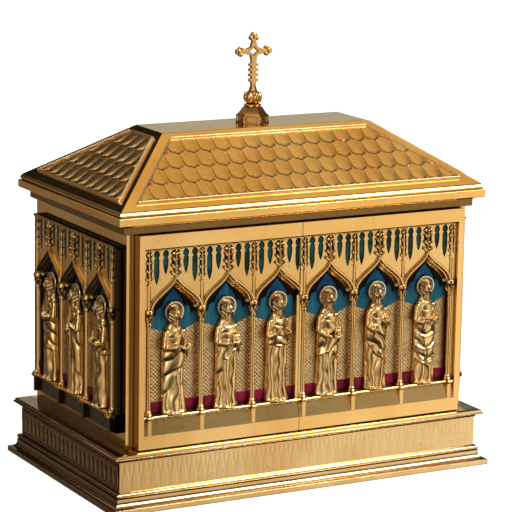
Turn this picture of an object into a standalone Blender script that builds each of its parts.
"""Altar tabernacle: a hollow metal cabinet with two hinged leaves, cast arcades with standing
figures on three sides, a moulded plinth and a hipped roof with scale panels and a cross.

Metres, +Z up. The front faces -Y and +X is to the viewer's right. The origin is the middle of the
plinth's underside.
"""
import math

import bmesh
import bpy
from mathutils import Vector

# Cabinet
BODY_W = 0.500
BODY_D = 0.277
BODY_H = 0.277
SIDE_WALL = 0.0105
BACK_WALL = 0.008
FLOOR_T = 0.008
CEILING_T = 0.008
BACK_PANEL_INSET = 0.030
BACK_PANEL_SINK = 0.002
TOUCH = 0.0003
CUT_REACH = 0.02
EDGE_CHAMFER = 0.001

# Plinth
PLINTH_H = 0.077
FOOT_OUT = 0.0304
FOOT_H = 0.007
STEP_OUT = 0.0205
STEP_Z = 0.018
BEAD_R = 0.0035
FRIEZE_OUT = 0.0155
FRIEZE_Z = 0.027
FRIEZE_H = 0.038
LIP_OUT = 0.0246
LIP_T = 0.003
LIP_Z = 0.069
LIP_STEP = 0.0018
STEP_COVE_R = 0.0085
SEAT_FALL = 0.002

# Leaves of the door
LEAF_MARGIN = 0.0005
LEAF_END_GAP = 0.0006
LEAF_BACK = 0.004
REBATE_GAP = 0.0015
LEAF_PLATE = 0.0012
LEAF_PROUD = 0.015
STILE_W = 0.0075
SEAM_X = -0.0068
SEAM_GAP = 0.0008
HINGE_INSET = 0.005
HINGE_PROUD = 0.0075
BAND_H = 0.018
RAIL_H = 0.018

# Enamel grounds behind the arcades
GROUND_T = 0.0015
GROUND_BACK = LEAF_PLATE + TOUCH
GROUND_FRONT = GROUND_BACK + GROUND_T

# Arcades: the bays fill the walls, and the heads keep their height under the top of the body
BAY_SHARE = 0.149
SIDE_BAY_SHARE = 0.278
BAYS = 3
BAY = BODY_W * BAY_SHARE
SIDE_BAY = BODY_D * SIDE_BAY_SHARE
HEAD_H = 0.115
CASTING_BACK = GROUND_FRONT + TOUCH
PLATE_PROUD = 0.0105
MOULD_PROUD = 0.0132
SHAFT_R = 0.0034
SHAFT_SIDES = 6
SHAFT_OUT = 0.0095
CAPITAL_R = 0.0061
CAPITAL_Z = BODY_H - HEAD_H
CAPITAL_H = 0.018
SILL_TOP = 0.0427
SILL_PROUD = 0.0111
PEDESTAL_PROUD = 0.0189
PEDESTAL_HALF = 0.006
PEDESTAL_RISE = 0.0008
ARCH_LEG = 0.00525
ARCH_SPRING = CAPITAL_Z + 0.016
ARCH_CUSP_SHARE = 0.64
ARCH_CUSP_Z = CAPITAL_Z + 0.027
ARCH_APEX = CAPITAL_Z + 0.0515
ARCH_LIFT = 0.0070
KEEL_PULL = 0.012
KEEL_HALF = 0.009
MOULD_W = 0.0056
LOBE_STEPS = 2
KEEL_STEPS = 2
LANCET_W = 0.0060
LANCET_TOP = CAPITAL_Z + 0.0945
LANCET_TIP = 0.006
LANCET_DEPTH = 0.005
OUTER_LANCET_SHARE = 0.36
OUTER_LANCET_Z = CAPITAL_Z + 0.050
INNER_LANCET_SHARE = 0.19
INNER_LANCET_Z = CAPITAL_Z + 0.062
FINIAL_R = 0.0042
PINNACLE_R = 0.0034
PINNACLE_FOOT = CAPITAL_Z + 0.036
SPIRE_SINK = 0.0005
SIDE_STILE = 0.0045
SPIRE_GAP = 0.0008
FINIAL_RISE = 0.003
FINIAL_LEVELS = ((0.0, 0.6), (0.45, 1.0), (1.0, 0.3))
PINNACLE_LEVELS = ((0.0, 1.0), (1.0, 0.4))

# Figures, with their carving as shares of their own height
FIGURE_H = 0.140
FIGURE_ARC = 11
FIGURE_FACES = 256
SLEEVE_SIDES = 5
HEAD_SIDES = 6
HALO_SIDES = 12
HALO_R = 0.098
HALO_Z = 0.938
HALO_T = 0.010
HALO_BACK = 0.022

# Roof
BED_OUT = 0.0068
BED_H = 0.0128
BED_CHAMFER = 0.003
BED_COVE_H = 0.0045
BED_COVE_OUT = 0.004
FASCIA_OUT = 0.0190
FASCIA_H = 0.0107
GROOVE_OUT = 0.0155
GROOVE_H = 0.0010
FILLET_OUT = 0.0170
FILLET_H = 0.0068
FILLET_SLOPE = 0.002
EAVE_OUT = 0.0140
DECK_W = 0.3047
DECK_D = 0.0771
ROOF_H = 0.107
ROOF_TOP = BODY_H + ROOF_H
PANEL_BORDER = 0.0125
PANEL_T = 0.0012
PANEL_BEAD_W = 0.0032
PANEL_BEAD_H = 0.0045
SCALE_ROWS = 4
SCALE_PITCH = 0.0224
SCALE_RISE = 0.0022
SCALE_DROP = 0.55

# Cross and its stand
DRUM_SIDES = 6
DRUM_R = 0.0222
DRUM_H = 0.0095
DRUM_ROOF_H = 0.0110
DRUM_ROOF_R = 0.0128
COLLAR_R = 0.0112
COLLAR_H = 0.0040
KNOP_NECK_R = 0.0084
KNOP_R = 0.0108
KNOP_H = 0.0175
KNOP_SIDES = 10
STEM_H = 0.0085
STEM_FOOT_R = 0.0062
STEM_HEAD_R = 0.0031
CROSS_T = 0.0050
CROSS_ARM = 0.0270
CROSS_HEAD = 0.0255
CROSS_SHAFT = 0.0440
CROSS_HALF = 0.0040
BUD_R = 0.0044
DIAMOND_OUT = 0.0130
DIAMOND_IN = 0.0062
CROCKETS = 4
CROCKET_START = 0.003
CROCKET_OUT = 0.0072

BODY_Z = PLINTH_H + TOUCH
GILT = (0.80, 0.56, 0.24)


def make_material(name, color, metallic, roughness):
    """A plain principled material with a colour, a metallic value and a roughness."""
    material = bpy.data.materials.new(name)
    material.use_nodes = True
    shader = material.node_tree.nodes["Principled BSDF"]
    shader.inputs["Base Color"].default_value = (*color, 1.0)
    shader.inputs["Metallic"].default_value = metallic
    shader.inputs["Roughness"].default_value = roughness
    material.diffuse_color = (*color, 1.0)
    return material


def add_object(name, bm):
    """Turn a bmesh into a linked object with outward faces."""
    bmesh.ops.recalc_face_normals(bm, faces=bm.faces)
    mesh = bpy.data.meshes.new(name)
    bm.to_mesh(mesh)
    bm.free()
    obj = bpy.data.objects.new(name, mesh)
    bpy.context.scene.collection.objects.link(obj)
    return obj


def combine(base, tools, operation):
    """Apply one exact Boolean per tool to the base and remove the tools."""
    for tool in tools:
        step = base.modifiers.new("combine", "BOOLEAN")
        step.operation = operation
        step.solver = "EXACT"
        step.use_hole_tolerant = True
        step.object = tool
    bpy.context.view_layer.update()
    graph = bpy.context.evaluated_depsgraph_get()
    result = bpy.data.meshes.new_from_object(base.evaluated_get(graph))
    base.modifiers.clear()
    old = base.data
    base.data = result
    bpy.data.meshes.remove(old)
    for tool in tools:
        mesh = tool.data
        bpy.data.objects.remove(tool)
        bpy.data.meshes.remove(mesh)
    return base


def clean(obj, distance=0.00002):
    """Weld the slivers that a Boolean can leave, and merge the faces that lie in one plane."""
    bm = bmesh.new()
    bm.from_mesh(obj.data)
    bmesh.ops.remove_doubles(bm, verts=bm.verts, dist=distance)
    bmesh.ops.dissolve_degenerate(bm, edges=bm.edges, dist=distance)
    bmesh.ops.dissolve_limit(bm, angle_limit=math.radians(0.2), verts=bm.verts, edges=bm.edges)
    bmesh.ops.triangulate(bm, faces=bm.faces)
    bm.to_mesh(obj.data)
    bm.free()
    return obj


def thin_out(obj, faces):
    """Collapse the smallest edges until about that many triangles are left."""
    step = obj.modifiers.new("thin out", "DECIMATE")
    step.ratio = min(1.0, faces / len(obj.data.polygons))
    return combine(obj, [], "UNION")


def loft(bm, rings):
    """Join rings with equal numbers of points by side faces, and close both ends."""
    loops = [[bm.verts.new(point) for point in ring] for ring in rings]
    count = len(loops[0])
    for lower, upper in zip(loops, loops[1:]):
        for i in range(count):
            j = (i + 1) % count
            bm.faces.new((lower[i], lower[j], upper[j], upper[i]))
    bm.faces.new(list(reversed(loops[0])))
    bm.faces.new(loops[-1])


def loft_object(name, rings):
    """A lofted piece, in triangles because its side faces may be twisted."""
    bm = bmesh.new()
    loft(bm, rings)
    bmesh.ops.triangulate(bm, faces=bm.faces)
    return add_object(name, bm)


def box(name, low, high):
    """A box between two corners."""
    corners = [(low[0], low[1]), (high[0], low[1]), (high[0], high[1]), (low[0], high[1])]
    return loft_object(name, [[(x, y, z) for x, y in corners] for z in (low[2], high[2])])


def prism(name, outline, back, front):
    """An outline of (u, z) points on a wall, extruded outward from back to front."""
    bm = bmesh.new()
    loft(bm, [[(u, -w, z) for u, z in outline] for w in (back, front)])
    return add_object(name, bm)


def moulding(name, profile, half_w, half_d):
    """A rectangular moulding: each profile point is an overhang and a height."""
    rings = []
    for out, z in profile:
        x = half_w + out
        y = half_d + out
        rings.append([(-x, -y, z), (x, -y, z), (x, y, z), (-x, y, z)])
    return loft_object(name, rings)


def arc(centre, radius, start, end, steps):
    """Points on a circular arc, angles in degrees, both ends included."""
    points = []
    for i in range(steps + 1):
        angle = math.radians(start + (end - start) * i / steps)
        points.append((centre[0] + radius * math.cos(angle), centre[1] + radius * math.sin(angle)))
    return points


def bezier(a, b, c, d, steps):
    """Points on a cubic curve after its first point."""
    points = []
    for i in range(1, steps + 1):
        t = i / steps
        s = 1.0 - t
        weights = (s ** 3, 3 * s * s * t, 3 * s * t * t, t ** 3)
        points.append(tuple(sum(w * p[k] for w, p in zip(weights, (a, b, c, d))) for k in (0, 1)))
    return points


def ring(radius, z, sides, turn=0.0, centre=(0.0, 0.0)):
    """A level polygon of points around an upright axis."""
    points = []
    for i in range(sides):
        angle = turn + 2.0 * math.pi * i / sides
        points.append((centre[0] + radius * math.cos(angle), centre[1] + radius * math.sin(angle), z))
    return points


def tube(name, path, radii, sides):
    """A closed tapering tube along a path of points."""
    rings = []
    for i, point in enumerate(path):
        before = Vector(path[max(i - 1, 0)])
        after = Vector(path[min(i + 1, len(path) - 1)])
        along = (after - before).normalized()
        side = along.cross(Vector((0.0, 1.0, 0.0)))
        if side.length < 0.2:
            side = along.cross(Vector((1.0, 0.0, 0.0)))
        side.normalize()
        up = side.cross(along)
        loop = []
        for k in range(sides):
            angle = 2.0 * math.pi * (k + 0.5) / sides
            offset = side * math.cos(angle) + up * math.sin(angle)
            loop.append(Vector(point) + offset * radii[i])
        rings.append(loop)
    return loft_object(name, rings)


def finish(obj, material, parent=None):
    """Give a piece its material, soft shading between sharp edges and its parent."""
    obj.data.materials.clear()
    obj.data.materials.append(material)
    obj.data.shade_smooth()
    obj.data.set_sharp_from_angle(angle=math.radians(32.0))
    if parent is not None:
        obj.location = obj.location - parent.location
        obj.parent = parent
    return obj


def make_plinth(material):
    """The base: rounded foot, step, bead, tall frieze and a thin projecting lip."""
    cove_r = STEP_OUT - FRIEZE_OUT
    cove_top = FRIEZE_Z + FRIEZE_H
    fillet = EDGE_CHAMFER
    profile = [(FOOT_OUT, 0.0), (FOOT_OUT, FOOT_H)]
    profile += arc((STEP_OUT + STEP_COVE_R, STEP_Z), STEP_COVE_R, 250, 180, 3)
    profile.append((STEP_OUT, STEP_Z + fillet))
    profile += arc((FRIEZE_OUT + BEAD_R / 2, STEP_Z + fillet + BEAD_R), BEAD_R, -60, 60, 4)
    profile.append((FRIEZE_OUT, FRIEZE_Z))
    profile.append((FRIEZE_OUT, cove_top))
    profile += arc((FRIEZE_OUT + cove_r, cove_top - fillet), cove_r, 150, 100, 2)
    profile += [(LIP_OUT, LIP_Z), (LIP_OUT, LIP_Z + LIP_T)]
    profile += [(LIP_OUT - LIP_STEP, LIP_Z + LIP_T + TOUCH), (LIP_OUT - LIP_STEP, PLINTH_H - SEAT_FALL)]
    profile += [(SEAT_FALL, PLINTH_H)]
    obj = moulding("plinth", profile, BODY_W / 2, BODY_D / 2)
    return finish(obj, material)


def make_case(material):
    """The cabinet: side walls, back, floor and ceiling around an empty inside, open at the front."""
    half_w = BODY_W / 2
    half_d = BODY_D / 2
    top = BODY_Z + BODY_H
    shell = box("case", (-half_w, -half_d, BODY_Z), (half_w, half_d, top))
    inner_x = half_w - SIDE_WALL
    leaf_back_y = -half_d + LEAF_BACK + REBATE_GAP
    cavity = box("cavity", (-inner_x, -half_d - CUT_REACH, BODY_Z + FLOOR_T),
                 (inner_x, half_d - BACK_WALL, top - CEILING_T))
    rebate = box("rebate", (-inner_x, -half_d - CUT_REACH, BODY_Z - CUT_REACH),
                 (inner_x, leaf_back_y, top + CUT_REACH))
    inset = BACK_PANEL_INSET
    panel = box("panel", (-half_w + inset, half_d - BACK_PANEL_SINK, BODY_Z + inset),
                (half_w - inset, half_d + CUT_REACH, top - inset))
    combine(shell, [cavity, rebate, panel], "DIFFERENCE")
    return finish(shell, material)


def leaf_span(side):
    """The two ends of a leaf along X: its outer edge and its edge at the seam."""
    outer = BODY_W / 2 - SIDE_WALL - LEAF_MARGIN
    if side == "left":
        return -outer, SEAM_X - SEAM_GAP / 2
    return SEAM_X + SEAM_GAP / 2, outer


def frame_opening(side):
    """The inside of a leaf's frame along X, where its ground and arcade lie."""
    low, high = leaf_span(side)
    if side == "left":
        return low + STILE_W + TOUCH, high
    return low, high - STILE_W - TOUCH


def make_leaf(side, material, hinge):
    """A leaf: a plate with a raised band above, a rail below and a stile at its outer edge."""
    low, high = leaf_span(side)
    front = -BODY_D / 2
    bottom = BODY_Z + LEAF_END_GAP
    top = BODY_Z + BODY_H - LEAF_END_GAP
    proud = front - LEAF_PROUD
    plate = front - LEAF_PLATE
    leaf = box(side + "_door", (low, proud, bottom), (high, front + LEAF_BACK, top))
    inner_low, inner_high = frame_opening(side)
    cut_low = inner_low - TOUCH if side == "left" else low - CUT_REACH
    cut_high = high + CUT_REACH if side == "left" else inner_high + TOUCH
    pocket = box("pocket", (cut_low, proud - CUT_REACH, BODY_Z + RAIL_H),
                 (cut_high, plate, BODY_Z + BODY_H - BAND_H))
    combine(leaf, [pocket], "DIFFERENCE")
    return finish(leaf, material, hinge)


def make_ground(name, low, high, material):
    """The enamelled plate behind an arcade, in wall coordinates."""
    bottom = BODY_Z + RAIL_H + TOUCH
    top = BODY_Z + BODY_H - BAND_H - TOUCH
    outline = [(low, bottom), (high, bottom), (high, top), (low, top)]
    return prism(name, outline, GROUND_BACK, GROUND_FRONT)


def inner_arch(half):
    """Right half of a trefoiled keel arch, from its springing to its apex."""
    spring = (half, ARCH_SPRING)
    cusp = (half * ARCH_CUSP_SHARE, ARCH_CUSP_Z)
    apex = (0.0, ARCH_APEX)
    swell = ARCH_SPRING + (ARCH_CUSP_Z - ARCH_SPRING) * 0.75
    points = [spring]
    points += bezier(spring, (half, swell), (half * 0.92, ARCH_CUSP_Z), cusp, LOBE_STEPS)
    rise = ARCH_APEX - ARCH_CUSP_Z
    points += bezier(cusp, (cusp[0] * 0.95, cusp[1] + rise * 0.35),
                     (cusp[0] * 0.28, cusp[1] + rise * 0.72), apex, KEEL_STEPS)
    return points


def outer_arch(half, grow):
    """Right half of the keel arch's outer line, which has no cusp."""
    spring = (half + grow, ARCH_SPRING + grow)
    apex = (0.0, ARCH_APEX + ARCH_LIFT * grow / MOULD_W)
    return [spring] + bezier(spring, (half + grow, spring[1] + KEEL_PULL),
                             (KEEL_HALF, apex[1] - KEEL_PULL), apex, KEEL_STEPS)


def mirrored(half_line, centre):
    """A whole arch line about a centre, from its left springing to its right one."""
    left = [(centre - u, z + BODY_Z) for u, z in half_line]
    right = [(centre + u, z + BODY_Z) for u, z in reversed(half_line[:-1])]
    return left + right


def head_outline(centres, half, low, high):
    """The arcade's head plate: straight above, with one arch opening per bay below."""
    top = BODY_Z + BODY_H - BAND_H - TOUCH
    foot = ARCH_SPRING + BODY_Z
    points = [(low, top), (low, foot)]
    for centre in centres:
        line = mirrored(outer_arch(half, MOULD_W / 2), centre)
        points += [(line[0][0], foot)] + line + [(line[-1][0], foot)]
    points += [(high, foot), (high, top)]
    return points


def mould_outline(centre, half):
    """The raised drip mould of one arch, between its inner and its outer line."""
    foot = ARCH_SPRING + BODY_Z - TOUCH
    outer = mirrored(outer_arch(half, MOULD_W), centre)
    inner = mirrored(inner_arch(half), centre)
    outer = [(outer[0][0], foot)] + outer + [(outer[-1][0], foot)]
    inner = [(inner[0][0], foot)] + inner[1:-1] + [(inner[-1][0], foot)]
    return outer + list(reversed(inner))


def lancet_outline(u, bottom):
    """A narrow window with a pointed head."""
    half = LANCET_W / 2
    top = BODY_Z + LANCET_TOP
    return [(u - half, BODY_Z + bottom), (u + half, BODY_Z + bottom), (u + half, top - LANCET_TIP),
            (u, top), (u - half, top - LANCET_TIP)]


def spire(name, u, bottom, top, radius, levels):
    """A four-sided tapering spire that stands half out of the head plate."""
    height = top - bottom
    proud = PLATE_PROUD - SPIRE_SINK
    rings = []
    for share, width in levels:
        z = BODY_Z + bottom + height * share
        rings.append(ring(radius * width, z, 4, 0.0, (u, -proud)))
    return loft_object(name, rings)


def column_parts(u):
    """One column: pedestal, shaft and flared capital."""
    half = PEDESTAL_HALF
    bottom = BODY_Z + RAIL_H + TOUCH
    sill = BODY_Z + SILL_TOP
    pedestal = box("pedestal", (u - half, -PEDESTAL_PROUD, bottom),
                   (u + half, -CASTING_BACK - TOUCH, sill + PEDESTAL_RISE))
    neck = BODY_Z + CAPITAL_Z
    abacus = neck + CAPITAL_H
    centre = (u, -SHAFT_OUT)
    levels = ((SHAFT_R, sill - EDGE_CHAMFER), (SHAFT_R, neck), (CAPITAL_R, abacus))
    rings = [ring(radius, z, SHAFT_SIDES, 0.0, centre) for radius, z in levels]
    return [pedestal, loft_object("shaft", rings)]


def bay_places(bay, offset):
    """Places along a wall of the bays' middles and of the columns beside them."""
    centres = [offset + (i - (BAYS - 1) / 2) * bay for i in range(BAYS)]
    columns = [offset + (i - BAYS / 2) * bay for i in range(BAYS + 1)]
    return centres, columns


def cut_windows(head, centres, bay):
    """Sink the four lancets of each bay into the head plate."""
    windows = []
    sunk = PLATE_PROUD - LANCET_DEPTH
    lancets = ((OUTER_LANCET_SHARE * bay, OUTER_LANCET_Z), (INNER_LANCET_SHARE * bay, INNER_LANCET_Z))
    for centre in centres:
        for u, bottom in lancets:
            for sign in (-1, 1):
                outline = lancet_outline(centre + sign * u, bottom)
                windows.append(prism("window", outline, sunk, PLATE_PROUD + CUT_REACH))
    combine(head, windows, "DIFFERENCE")


def rectangle(low, high, bottom, top):
    """Outline of an upright rectangle on a wall."""
    return [(low, bottom), (high, bottom), (high, top), (low, top)]


def make_arcade(name, bay, offset, low, high):
    """One arcade casting of three bays, in wall coordinates between its two ends."""
    centres, columns = bay_places(bay, offset)
    reach = CAPITAL_R + SIDE_STILE
    full_low = min(low, columns[0] - CAPITAL_R)
    full_high = max(high, columns[-1] + CAPITAL_R)
    half = bay / 2 - ARCH_LEG
    outline = head_outline(centres, half, full_low, full_high)
    head = prism(name, outline, CASTING_BACK, PLATE_PROUD)
    cut_windows(head, centres, bay)
    spire_top = BODY_H - BAND_H - SPIRE_GAP
    parts = []
    for centre in centres:
        parts.append(prism("mould", mould_outline(centre, half), CASTING_BACK + TOUCH, MOULD_PROUD))
        foot = ARCH_APEX + FINIAL_RISE
        parts.append(spire("finial", centre, foot, spire_top, FINIAL_R, FINIAL_LEVELS))
    bottom = BODY_Z + RAIL_H + TOUCH
    sill = rectangle(full_low, full_high, bottom + TOUCH, BODY_Z + SILL_TOP)
    parts.append(prism("sill", sill, CASTING_BACK, SILL_PROUD))
    for u in columns:
        if low < u < high:
            parts += column_parts(u)
            parts.append(spire("pinnacle", u, PINNACLE_FOOT, spire_top, PINNACLE_R, PINNACLE_LEVELS))
    stile_low = bottom + (SILL_TOP - RAIL_H) / 2
    stile_high = BODY_Z + ARCH_SPRING + MOULD_W / 2
    for end, column, sign in ((low, columns[0], 1), (high, columns[-1], -1)):
        if SHAFT_R < sign * (column - end) < reach + TOUCH:
            near = end + sign * TOUCH
            far = end + sign * SIDE_STILE / 2
            outline = rectangle(min(near, far), max(near, far), stile_low, stile_high)
            parts.append(prism("stile", outline, CASTING_BACK + TOUCH, PLATE_PROUD - TOUCH))
    combine(head, parts, "UNION")
    ends = []
    deep = PEDESTAL_PROUD + CUT_REACH
    above = BODY_Z + BODY_H + CUT_REACH
    if full_low < low:
        ends.append(box("end", (full_low - CUT_REACH, -deep, 0.0), (low, CUT_REACH, above)))
    if full_high > high:
        ends.append(box("end", (high, -deep, 0.0), (full_high + CUT_REACH, CUT_REACH, above)))
    if ends:
        combine(head, ends, "DIFFERENCE")
    return clean(head)


def fold(kind, a, z):
    """Height of the drapery across (a from -1 to 1) and up (z from 0 to 1), about zero."""
    if kind == "straight":
        return math.cos(math.pi * 5.0 * a)
    if kind == "left_fall":
        return math.cos(2.0 * math.pi * (1.3 * a + 2.6 * z))
    if kind == "right_fall":
        return math.cos(2.0 * math.pi * (1.3 * a - 2.6 * z))
    if kind == "looped":
        return math.cos(2.0 * math.pi * 6.0 * (z + 0.11 * (1.0 - a * a)))
    if kind == "pointed":
        return math.cos(2.0 * math.pi * 5.0 * (z + 0.12 * (1.0 - abs(a))))
    return 0.0


def body_rings(figure):
    """Level outlines of the robe from hem to neck, flat at the back and folded in front."""
    levels = ((0.0, 0.112, 0.075), (0.10, 0.100, 0.070), (0.21, 0.096, 0.066), (0.32, 0.102, 0.068),
              (0.43, 0.112, 0.076), (0.53, 0.124, 0.084), (0.63, 0.136, 0.084), (0.73, 0.134, 0.080),
              (0.81, 0.118, 0.068), (0.855, 0.052, 0.050))
    rings = []
    for z, half, deep in levels:
        kind = figure["skirt"] if z < 0.47 else figure["mantle"]
        carve = 0.011 if z < 0.60 else 0.007
        if z > 0.80:
            carve = 0.0
        sway = figure["sway"] * math.sin(math.pi * min(z / 0.85, 1.0))
        points = []
        for i in range(FIGURE_ARC):
            angle = math.pi * i / (FIGURE_ARC - 1)
            a = math.cos(angle)
            lift = math.sin(angle) ** 0.75
            depth = deep * lift + carve * fold(kind, a, z) * lift
            points.append(((a * half + sway) * FIGURE_H, -depth * FIGURE_H, z * FIGURE_H))
        rings.append(points)
    return rings


def head_rings(figure):
    """The head with hair and beard as one turned form."""
    levels = ((0.838, 0.022, 0.020), (0.862, 0.045, 0.038), (0.900, 0.062, 0.050),
              (0.945, 0.064, 0.054), (0.980, 0.048, 0.042), (0.998, 0.018, 0.016))
    turn = figure["turn"]
    rings = []
    for z, half, deep in levels:
        points = []
        for i in range(HEAD_SIDES):
            angle = 2.0 * math.pi * (i + 0.5) / HEAD_SIDES
            u = math.cos(angle) * half + turn * 0.012
            w = 0.072 + math.sin(angle) * deep
            points.append((u * FIGURE_H, -w * FIGURE_H, z * FIGURE_H))
        rings.append(points)
    return rings


def arm_parts(figure):
    """Two sleeved arms that reach to their hands, each given by its place across and up."""
    parts = []
    for sign, hand in ((-1, figure["hand_a"]), (1, figure["hand_b"])):
        shoulder = (sign * 0.112, 0.040, 0.790)
        elbow = (sign * 0.132, 0.062, 0.615)
        wrist = (hand[0] * 0.75 + elbow[0] * 0.25, 0.090, hand[1] * 0.75 + elbow[2] * 0.25)
        tip = (hand[0], 0.101, hand[1])
        upper = ((shoulder, elbow), (0.026, 0.033))
        lower = ((elbow, wrist, tip), (0.030, 0.027, 0.013))
        for places, widths in (upper, lower):
            path = [(u * FIGURE_H, -w * FIGURE_H, z * FIGURE_H) for u, w, z in places]
            parts.append(tube("sleeve", path, [r * FIGURE_H for r in widths], SLEEVE_SIDES))
    return parts


def held_parts(figure):
    """What the figure holds: a book, a scroll, a staff or nothing."""
    scale = FIGURE_H
    hold = figure["hold"]
    if hold is None:
        return []
    u, z = figure["hold_at"]
    if hold == "book":
        low = ((u - 0.036) * scale, -0.120 * scale, (z - 0.045) * scale)
        high = ((u + 0.036) * scale, -0.070 * scale, (z + 0.045) * scale)
        return [box("book", low, high)]
    if hold == "scroll":
        path = [((u - 0.01) * scale, -0.105 * scale, (z - 0.05) * scale),
                ((u + 0.01) * scale, -0.105 * scale, (z + 0.05) * scale)]
        return [tube("scroll", path, [0.016 * scale] * 2, SLEEVE_SIDES)]
    path = [(u * scale, -0.092 * scale, 0.0), (u * scale, -0.096 * scale, z * scale)]
    return [tube("staff", path, [0.012 * scale] * 2, 5)]


def make_figure(name, figure):
    """One standing figure in relief, with its feet at the origin and its back on the ground plate."""
    body = loft_object(name, body_rings(figure))
    head = loft_object("head", head_rings(figure))
    halo = prism("halo", [(HALO_R * FIGURE_H * math.cos(2 * math.pi * i / HALO_SIDES),
                           (HALO_Z + HALO_R * math.sin(2 * math.pi * i / HALO_SIDES)) * FIGURE_H)
                          for i in range(HALO_SIDES)],
                 HALO_BACK * FIGURE_H, (HALO_BACK + HALO_T) * FIGURE_H)
    combine(body, [halo, head] + arm_parts(figure) + held_parts(figure), "UNION")
    clean(body)
    thin_out(body, FIGURE_FACES)
    return body


def slope_frame(half_low, half_high, run, rise):
    """The length of a roof slope and the half width that it loses for each metre of it."""
    length = math.hypot(run, rise)
    return length, (half_low - half_high) / length


def scale_line(half, row, level):
    """The lower edge of one row of scales: pointed tongues, half a scale over on odd rows."""
    step = SCALE_PITCH / 2
    count = int(half / step) + 1
    drop = level * SCALE_DROP
    points = []
    for i in range(-count, count + 1):
        x = i * step
        if abs(x) >= half - step * 0.2:
            continue
        tip = (i + row) % 2 == 0
        points.append((x, -drop if tip else 0.0))
    return points


def zip_lines(bm, lower, upper):
    """Fill the strip between two lines of vertices that run the same way, with triangles."""
    i = 0
    j = 0
    while i < len(lower) - 1 or j < len(upper) - 1:
        step_lower = j == len(upper) - 1
        if i < len(lower) - 1 and not step_lower:
            step_lower = lower[i + 1].co.x <= upper[j + 1].co.x
        if step_lower:
            bm.faces.new((lower[i], lower[i + 1], upper[j]))
            i += 1
        else:
            bm.faces.new((lower[i], upper[j + 1], upper[j]))
            j += 1


def make_scale_panel(name, half_eave, loss, length):
    """A panel of overlapping scales in slope coordinates: X along the eave, Y up, Z outward."""
    border = PANEL_BORDER + PANEL_BEAD_W / 2 + TOUCH
    start = border
    end = length - border
    level = (end - start) / SCALE_ROWS
    hip_inset = border * math.hypot(1.0, loss)

    def half_at(s):
        return half_eave - loss * s - hip_inset

    bm = bmesh.new()
    valley = TOUCH + PANEL_T
    crest = valley + SCALE_RISE
    left_side = []
    right_side = []
    below = None
    for row in range(SCALE_ROWS + 1):
        s = start + row * level
        ends = half_at(s)
        marks = scale_line(ends, row, level) if 0 < row < SCALE_ROWS else []
        marks = [(-ends, 0.0)] + marks + [(ends, 0.0)]
        low_line = [bm.verts.new((x, s + dy, valley)) for x, dy in marks]
        if below is not None:
            zip_lines(bm, below, low_line)
        left_side.append(low_line[0])
        right_side.append(low_line[-1])
        if row == SCALE_ROWS:
            top_line = low_line
            break
        high_line = [bm.verts.new((x, s + dy, crest)) for x, dy in marks]
        for k in range(len(marks) - 1):
            bm.faces.new((low_line[k], low_line[k + 1], high_line[k + 1], high_line[k]))
        left_side.append(high_line[0])
        right_side.append(high_line[-1])
        if row == 0:
            bottom_line = low_line
        below = high_line
    base = {}
    for key, x, s in (("ll", -half_at(start), start), ("lr", half_at(start), start),
                      ("ul", -half_at(end), end), ("ur", half_at(end), end)):
        base[key] = bm.verts.new((x, s, TOUCH))
    bm.faces.new([base["ll"], base["lr"], base["ur"], base["ul"]])
    bm.faces.new([base["ll"], base["lr"]] + list(reversed(bottom_line)))
    bm.faces.new([base["ul"], base["ur"]] + list(reversed(top_line)))
    bm.faces.new([base["ll"]] + left_side + [base["ul"]])
    bm.faces.new([base["lr"]] + right_side + [base["ur"]])
    panel = add_object(name, bm)
    return panel


def make_panel_bead(name, half_eave, loss, length):
    """The raised bead around a panel, as a frame of four mitred bars."""
    hip = math.hypot(1.0, loss)

    def corners(inset, h):
        start = PANEL_BORDER + inset
        end = length - PANEL_BORDER - inset
        low = half_eave - loss * start - (PANEL_BORDER + inset) * hip
        high = half_eave - loss * end - (PANEL_BORDER + inset) * hip
        return [(-low, start, h), (low, start, h), (high, end, h), (-high, end, h)]

    half = PANEL_BEAD_W / 2
    loops = [corners(-half, -PANEL_BEAD_H), corners(-half, PANEL_BEAD_H * 0.6),
             corners(0.0, PANEL_BEAD_H), corners(half, PANEL_BEAD_H * 0.6),
             corners(half, -PANEL_BEAD_H)]
    bm = bmesh.new()
    rings = [[bm.verts.new(p) for p in loop] for loop in loops]
    for k in range(len(rings)):
        a = rings[k]
        b = rings[(k + 1) % len(rings)]
        for i in range(4):
            j = (i + 1) % 4
            bm.faces.new((a[i], a[j], b[j], b[i]))
    return add_object(name, bm)


def eave_height():
    """Height of the eave above the cabinet's top."""
    return TOUCH + BED_H + FASCIA_H + GROOVE_H + FILLET_H


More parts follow.
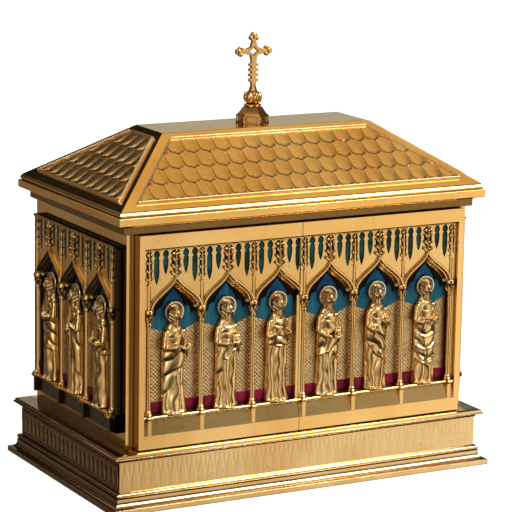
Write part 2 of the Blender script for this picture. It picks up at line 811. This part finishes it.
def make_roof(material):
    """The cornice, its fascia and fillet, and the hipped roof with its flat deck."""
    base = BODY_Z + BODY_H
    z = base + TOUCH
    half_w = BODY_W / 2
    half_d = BODY_D / 2
    profile = [(BED_OUT - BED_CHAMFER, z), (BED_OUT, z + BED_CHAMFER)]
    profile.append((BED_OUT, z + BED_H - BED_COVE_H))
    profile.append((BED_OUT + BED_COVE_OUT, z + BED_H - BED_COVE_H / 3))
    profile.append((FASCIA_OUT - EDGE_CHAMFER, z + BED_H))
    z += BED_H
    profile += [(FASCIA_OUT, z + EDGE_CHAMFER), (FASCIA_OUT, z + FASCIA_H - EDGE_CHAMFER)]
    z += FASCIA_H
    profile += [(GROOVE_OUT, z), (GROOVE_OUT, z + GROOVE_H)]
    z += GROOVE_H
    profile += [(FILLET_OUT, z + EDGE_CHAMFER / 2), (FILLET_OUT, z + FILLET_H - FILLET_SLOPE)]
    z += FILLET_H
    profile.append((EAVE_OUT, z))
    sizes = [(half_w + out, half_d + out, height) for out, height in profile]
    sizes.append((DECK_W / 2, DECK_D / 2, BODY_Z + ROOF_TOP))
    rings = [[(-x, -y, h), (x, -y, h), (x, y, h), (-x, y, h)] for x, y, h in sizes]
    roof = loft_object("roof", rings)
    beads = []
    rise = roof_rise()
    for place, turn, half_low, half_high, reach, run in roof_slopes():
        length, loss = slope_frame(half_low, half_high, run, rise)
        beads.append(on_slope(make_panel_bead("bead", half_low, loss, length), turn, reach, run, rise))
    combine(roof, beads, "UNION")
    return finish(clean(roof), material)


def roof_slopes():
    """Each slope's name, turn, half widths below and above, eave distance and run."""
    eave_x = BODY_W / 2 + EAVE_OUT
    eave_y = BODY_D / 2 + EAVE_OUT
    slopes = []
    for place, turn in (("front", 0.0), ("right", 90.0), ("back", 180.0), ("left", 270.0)):
        if place in ("front", "back"):
            slopes.append((place, turn, eave_x, DECK_W / 2, eave_y, eave_y - DECK_D / 2))
        else:
            slopes.append((place, turn, eave_y, DECK_D / 2, eave_x, eave_x - DECK_W / 2))
    return slopes


def on_slope(obj, turn, reach, run, rise):
    """Lay a piece that is modelled in slope coordinates onto one slope of the roof."""
    angle = math.radians(turn)
    obj.rotation_euler = (math.atan2(rise, run), 0.0, angle)
    obj.location = (math.sin(angle) * reach, -math.cos(angle) * reach,
                    BODY_Z + BODY_H + eave_height())
    return obj


def roof_rise():
    """Height from the eave to the deck."""
    return ROOF_TOP - BODY_H - eave_height()


def make_roof_panels(material):
    """A panel of scales on each of the four slopes."""
    rise = roof_rise()
    for place, turn, half_low, half_high, reach, run in roof_slopes():
        length, loss = slope_frame(half_low, half_high, run, rise)
        panel = make_scale_panel("roof_scales_" + place, half_low, loss, length)
        finish(on_slope(panel, turn, reach, run, rise), material)


def make_cross_stand(material):
    """The six-sided drum with its steep small roof, then the collar and the round knop."""
    z = BODY_Z + ROOF_TOP + TOUCH
    turn = math.pi / DRUM_SIDES
    rings = [ring(DRUM_R, z, DRUM_SIDES, turn), ring(DRUM_R, z + DRUM_H, DRUM_SIDES, turn)]
    z += DRUM_H
    for share in (0.35, 0.7, 1.0):
        radius = DRUM_R - (DRUM_R - DRUM_ROOF_R) * share
        rings.append(ring(radius, z + DRUM_ROOF_H * share ** 1.3, DRUM_SIDES, turn))
    finish(loft_object("cross_drum", rings), material)
    z += DRUM_ROOF_H + TOUCH
    sides = KNOP_SIDES
    rings = [ring(COLLAR_R, z, sides), ring(COLLAR_R, z + COLLAR_H - EDGE_CHAMFER, sides),
             ring(KNOP_NECK_R, z + COLLAR_H, sides)]
    z += COLLAR_H
    for i in range(4):
        angle = math.radians(-57.0 + 38.0 * i)
        height = z + KNOP_H / 2 + KNOP_H / 2 * math.sin(angle)
        rings.append(ring(KNOP_R * math.cos(angle) ** 0.7, height, sides))
    finish(loft_object("cross_knop", rings), material)
    return z + KNOP_H


def bud(direction, reach):
    """Outline points of one arm's end: a three-lobed bud, counter-clockwise about the arm."""
    dx, dz = direction
    points = []
    half = CROSS_HALF * 0.72
    neck = reach - BUD_R * 2.5
    line = [(neck, -half)]
    line += [(neck + BUD_R * 0.3, -BUD_R * 1.4), (neck + BUD_R * 1.1, -BUD_R * 1.5),
             (neck + BUD_R * 1.5, -BUD_R * 0.75), (reach, -BUD_R * 0.4)]
    line += [(a, -b) for a, b in reversed(line)]
    for along, across in line:
        points.append((along * dx - across * dz, along * dz + across * dx))
    return points


def cross_outline():
    """Outline of the cross about its centre, with crockets down the sides of its shaft."""
    points = []
    corner = DIAMOND_OUT * 0.40
    points += [(corner, corner)] + bud((0.0, 1.0), CROSS_HEAD) + [(-corner, corner)]
    points += bud((-1.0, 0.0), CROSS_ARM) + [(-corner, -corner)]
    half = CROSS_HALF
    step = (CROSS_SHAFT - DIAMOND_OUT - 2 * CROCKET_START) / CROCKETS
    left = [(-half, -DIAMOND_OUT)]
    for i in range(CROCKETS):
        z = -DIAMOND_OUT - CROCKET_START - i * step
        left += [(-half, z), (-CROCKET_OUT, z - step * 0.3), (-half, z - step * 0.6)]
    left.append((-half, -CROSS_SHAFT))
    points += left
    points += [(-x, z) for x, z in reversed(left)]
    points += [(corner, -corner)] + bud((1.0, 0.0), CROSS_ARM)
    return points


def make_cross(foot, material):
    """The cross with its open diamond centre, on a short eight-sided stem."""
    bottom = foot + TOUCH
    centre = bottom + STEM_H + CROSS_SHAFT
    cross = prism("cross", [(u, z + centre) for u, z in cross_outline()], -CROSS_T / 2, CROSS_T / 2)
    inner = DIAMOND_IN
    waist = inner * 0.36
    hole = [(inner, 0.0), (waist, waist), (0.0, inner), (-waist, waist), (-inner, 0.0),
            (-waist, -waist), (0.0, -inner), (waist, -waist)]
    window = prism("window", [(u, z + centre) for u, z in hole], -CROSS_T, CROSS_T)
    combine(cross, [window], "DIFFERENCE")
    head = bottom + STEM_H + EDGE_CHAMFER
    stem = loft_object("stem", [ring(STEM_FOOT_R, bottom, 8, math.pi / 8),
                                ring(STEM_HEAD_R, head, 8, math.pi / 8)])
    combine(cross, [stem], "UNION")
    clean(cross)
    return finish(cross, material)


FIGURES = {
    "figure_front_1": {"skirt": "right_fall", "mantle": "left_fall", "sway": -0.010, "turn": 1.0,
                       "hand_a": (0.050, 0.625), "hand_b": (0.085, 0.640), "hold": "scroll",
                       "hold_at": (0.078, 0.665)},
    "figure_front_2": {"skirt": "straight", "mantle": "right_fall", "sway": 0.006, "turn": 0.4,
                       "hand_a": (0.030, 0.600), "hand_b": (0.080, 0.600), "hold": "book",
                       "hold_at": (0.065, 0.640)},
    "figure_front_3": {"skirt": "pointed", "mantle": "straight", "sway": -0.004, "turn": 0.5,
                       "hand_a": (-0.020, 0.665), "hand_b": (0.050, 0.690), "hold": "scroll",
                       "hold_at": (0.085, 0.735)},
    "figure_front_4": {"skirt": "straight", "mantle": "left_fall", "sway": 0.008, "turn": -0.3,
                       "hand_a": (0.000, 0.560), "hand_b": (0.075, 0.590), "hold": "book",
                       "hold_at": (0.070, 0.585)},
    "figure_front_5": {"skirt": "left_fall", "mantle": "right_fall", "sway": -0.006, "turn": -0.6,
                       "hand_a": (-0.030, 0.575), "hand_b": (0.040, 0.700), "hold": None,
                       "hold_at": (0.0, 0.0)},
    "figure_front_6": {"skirt": "looped", "mantle": "looped", "sway": 0.004, "turn": 0.2,
                       "hand_a": (-0.015, 0.605), "hand_b": (0.030, 0.590), "hold": None,
                       "hold_at": (0.0, 0.0)},
    "figure_left_1": {"skirt": "left_fall", "mantle": "looped", "sway": -0.006, "turn": -0.4,
                      "hand_a": (0.045, 0.630), "hand_b": (-0.045, 0.600), "hold": None,
                      "hold_at": (0.0, 0.0)},
    "figure_left_2": {"skirt": "pointed", "mantle": "straight", "sway": 0.006, "turn": 0.2,
                      "hand_a": (0.010, 0.560), "hand_b": (0.020, 0.680), "hold": "staff",
                      "hold_at": (0.015, 0.800)},
    "figure_left_3": {"skirt": "straight", "mantle": "right_fall", "sway": 0.000, "turn": -0.2,
                      "hand_a": (-0.020, 0.600), "hand_b": (0.025, 0.585), "hold": None,
                      "hold_at": (0.0, 0.0)},
    "figure_right_1": {"skirt": "straight", "mantle": "left_fall", "sway": 0.004, "turn": 0.4,
                       "hand_a": (0.020, 0.600), "hand_b": (0.080, 0.620), "hold": "book",
                       "hold_at": (0.070, 0.640)},
    "figure_right_2": {"skirt": "right_fall", "mantle": "straight", "sway": -0.006, "turn": -0.2,
                       "hand_a": (-0.050, 0.650), "hand_b": (0.030, 0.600), "hold": "staff",
                       "hold_at": (-0.070, 0.820)},
    "figure_right_3": {"skirt": "looped", "mantle": "right_fall", "sway": 0.006, "turn": 0.3,
                       "hand_a": (-0.010, 0.640), "hand_b": (0.045, 0.590), "hold": "scroll",
                       "hold_at": (0.060, 0.650)},
}


def place_on_wall(obj, turn, reach):
    """Stand a piece that is modelled in wall coordinates against one wall of the cabinet."""
    angle = math.radians(turn)
    obj.rotation_euler.z = angle
    obj.location.x += math.sin(angle) * reach
    obj.location.y += -math.cos(angle) * reach
    return obj


def place_figure(obj, u, turn, reach):
    """Stand a figure on the sill, at a distance along its wall."""
    angle = math.radians(turn)
    out = reach + CASTING_BACK
    obj.rotation_euler.z = angle
    obj.location = (math.sin(angle) * out + math.cos(angle) * u,
                    -math.cos(angle) * out + math.sin(angle) * u,
                    BODY_Z + SILL_TOP + TOUCH)
    return obj


def make_hinge(side):
    """An empty on a leaf's upright hinge axis."""
    sign = -1 if side == "left" else 1
    hinge = bpy.data.objects.new(side + "_hinge", None)
    outer = BODY_W / 2 - SIDE_WALL - LEAF_MARGIN
    hinge.location = (sign * (outer - HINGE_INSET), -BODY_D / 2 - HINGE_PROUD, BODY_Z)
    bpy.context.scene.collection.objects.link(hinge)
    return hinge


def make_door(side, materials):
    """One leaf with its enamel ground, its arcade and its three figures, on its hinge."""
    hinge = make_hinge(side)
    make_leaf(side, materials["gilt"], hinge)
    low, high = frame_opening(side)
    reach = BODY_D / 2
    ground = make_ground(side + "_door_ground", low, high, materials)
    place_on_wall(ground, 0.0, reach)
    finish(ground, materials["enamel"], hinge)
    offset = BAY * BAYS / 2 * (-1 if side == "left" else 1)
    arcade = make_arcade(side + "_door_arcade", BAY, offset, low, high)
    place_on_wall(arcade, 0.0, reach)
    finish(arcade, materials["gilt"], hinge)
    first = 0 if side == "left" else BAYS
    for i in range(first, first + BAYS):
        name = "figure_front_%d" % (i + 1)
        figure = make_figure(name, FIGURES[name])
        place_figure(figure, (i - BAYS + 0.5) * BAY, 0.0, reach)
        finish(figure, materials["gilt"], hinge)


def make_side(side, materials):
    """The enamel ground, the arcade and the three figures on one side wall."""
    turn = 270.0 if side == "left" else 90.0
    reach = BODY_W / 2 - LEAF_PLATE
    half = BAYS * SIDE_BAY / 2 + CAPITAL_R + SIDE_STILE
    ground = make_ground(side + "_side_ground", -half, half, materials)
    finish(place_on_wall(ground, turn, reach), materials["enamel"])
    arcade = make_arcade(side + "_side_arcade", SIDE_BAY, 0.0, -half, half)
    finish(place_on_wall(arcade, turn, reach), materials["gilt"])
    for i in range(BAYS):
        name = "figure_%s_%d" % (side, i + 1)
        figure = make_figure(name, FIGURES[name])
        place_figure(figure, (i - 1) * SIDE_BAY, turn, reach)
        finish(figure, materials["gilt"])


def main():
    for obj in list(bpy.data.objects):
        bpy.data.objects.remove(obj)
    materials = {
        "gilt": make_material("gilt_brass", GILT, 1.0, 0.22),
        "enamel": make_material("enamel", (0.02, 0.16, 0.30), 0.0, 0.15),
    }
    make_plinth(materials["gilt"])
    make_case(materials["gilt"])
    for side in ("left", "right"):
        make_door(side, materials)
        make_side(side, materials)
    make_roof(materials["gilt"])
    make_roof_panels(materials["gilt"])
    foot = make_cross_stand(materials["gilt"])
    make_cross(foot, materials["gilt"])


main()
